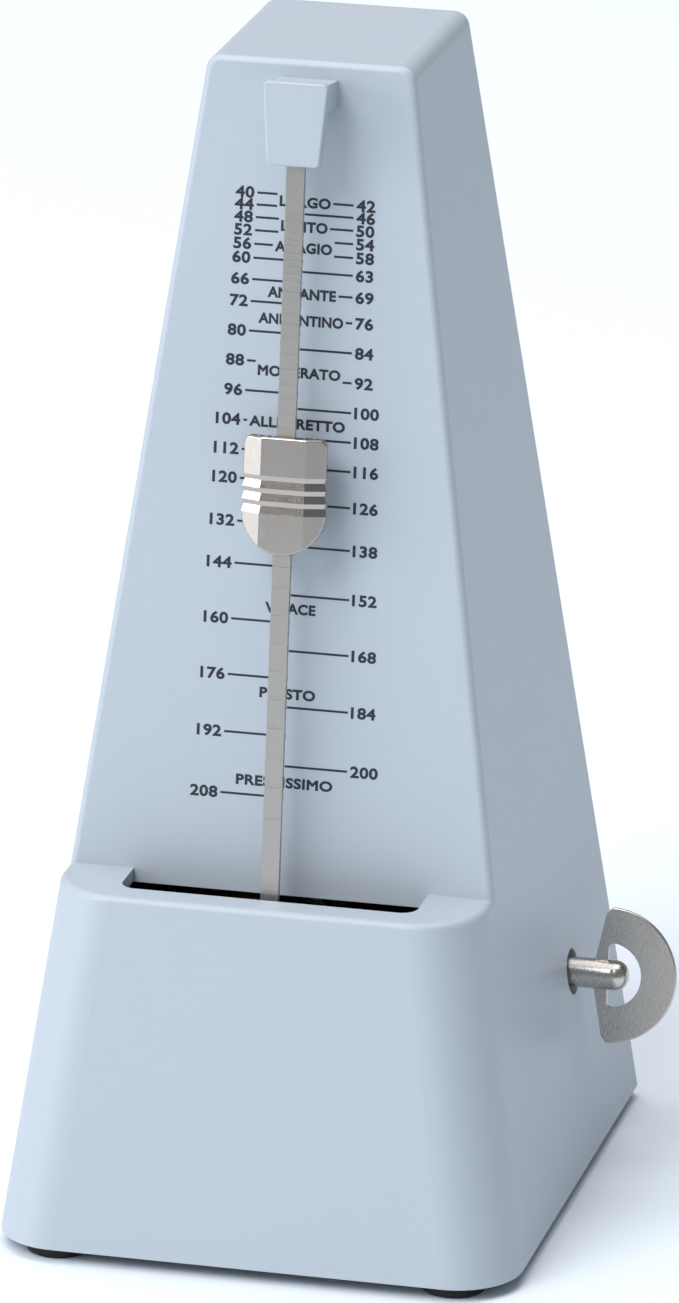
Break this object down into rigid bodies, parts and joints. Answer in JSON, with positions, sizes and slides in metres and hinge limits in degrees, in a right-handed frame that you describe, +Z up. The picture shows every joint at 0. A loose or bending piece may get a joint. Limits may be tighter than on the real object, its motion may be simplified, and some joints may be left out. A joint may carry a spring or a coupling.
{
  "type": "metronome",
  "caption": "Wind-up pyramid metronome with a light blue moulded case, swinging rod with a sliding weight, and a side winding key.",
  "frame": {"origin": "on the floor under the middle of the object's box, winding key included", "axes": "+Z up, -Y towards the scale and pendulum, +X towards the winding key"},
  "size_m": [0.1122, 0.1098, 0.216],
  "materials": {
    "case_plastic": "light blue moulded ABS, fine satin",
    "base_plastic": "black moulded ABS",
    "rubber": "black rubber",
    "key_nickel": "satin nickel plated steel",
    "weight_nickel": "satin nickel plated brass",
    "rod_steel": "rolled steel strip",
    "frame_steel": "zinc plated steel",
    "screw_steel": "zinc plated steel",
    "brass": "machined brass",
    "arbor_steel": "turned steel",
    "spring_steel": "blued spring steel",
    "cast_weight": "cast zinc alloy"
  },
  "bodies": {
    "case": {"case_shell": "case_plastic", "pendulum_catch": "case_plastic", "base_plate": "base_plastic", "base_screws": "screw_steel", "left_frame_plate": "frame_steel", "right_frame_plate": "frame_steel", "frame_pillars": "frame_steel", "pillar_screws": "screw_steel", "flange_screws": "screw_steel", "pendulum_bridge": "frame_steel", "front_bush": "brass", "rear_cock": "frame_steel", "rear_bush": "brass", "escape_cock": "frame_steel", "cock_posts": "frame_steel", "click_screw": "screw_steel", "click_spring": "spring_steel", "foot_front_left": "rubber", "foot_front_right": "rubber", "foot_rear_left": "rubber", "foot_rear_right": "rubber"},
    "pendulum": {"pendulum_rod": "rod_steel", "pendulum_arbor": "arbor_steel", "pendulum_hub": "brass", "hub_rivets": "screw_steel", "front_pallet": "arbor_steel", "rear_pallet": "arbor_steel", "counterweight": "cast_weight", "counterweight_pin": "screw_steel"},
    "sliding_weight": {"tempo_weight": "weight_nickel", "weight_cover": "weight_nickel", "weight_spring": "spring_steel"},
    "winding_key": {"winding_arbor": "arbor_steel", "ratchet_wheel": "arbor_steel", "key_stem": "key_nickel", "key_blade": "key_nickel"},
    "spring_barrel": {"great_wheel": "brass", "barrel_drum": "frame_steel", "barrel_cover": "frame_steel", "mainspring": "spring_steel"},
    "intermediate": {"intermediate_arbor": "arbor_steel", "intermediate_pinion": "arbor_steel", "intermediate_wheel": "brass"},
    "escape": {"escape_arbor": "arbor_steel", "escape_pinion": "arbor_steel", "escape_wheel": "brass"},
    "click": {"click": "arbor_steel"}
  },
  "joints": [
    {"name": "pendulum_swing", "type": "hinge", "parent": "case", "child": "pendulum", "pos_m": [-0.00737, -0.03829, 0.0585], "axis": [0, -0.9907, 0.1362], "range_deg": [-28, 28]},
    {"name": "weight_slide", "type": "slide", "parent": "pendulum", "child": "sliding_weight", "axis": [0, 0.1362, 0.9907], "range_m": [-0.066, 0.042]},
    {"name": "key_winding", "type": "hinge", "parent": "case", "child": "winding_key", "pos_m": [-0.00737, 0.0171, 0.0379], "axis": [1, 0, 0], "continuous": true},
    {"name": "barrel_turn", "type": "hinge", "parent": "case", "child": "spring_barrel", "pos_m": [-0.00737, 0.0171, 0.0379], "axis": [1, 0, 0], "continuous": true},
    {"name": "intermediate_turn", "type": "hinge", "parent": "case", "child": "intermediate", "pos_m": [-0.00737, -0.01019, 0.03711], "axis": [1, 0, 0], "continuous": true},
    {"name": "escape_turn", "type": "hinge", "parent": "case", "child": "escape", "pos_m": [-0.00737, -0.01254, 0.05496], "axis": [1, 0, 0], "continuous": true},
    {"name": "click_lift", "type": "hinge", "parent": "case", "child": "click", "pos_m": [-0.00737, 0.0261, 0.0289], "axis": [1, 0, 0], "range_deg": [0, 12], "stiffness_Nm_per_rad": 0.002, "springref_deg": -11.46}
  ],
  "couplings": [
    {"joint": "intermediate_turn", "follows": "barrel_turn", "ratio": -6},
    {"joint": "escape_turn", "follows": "barrel_turn", "ratio": 30}
  ]
}
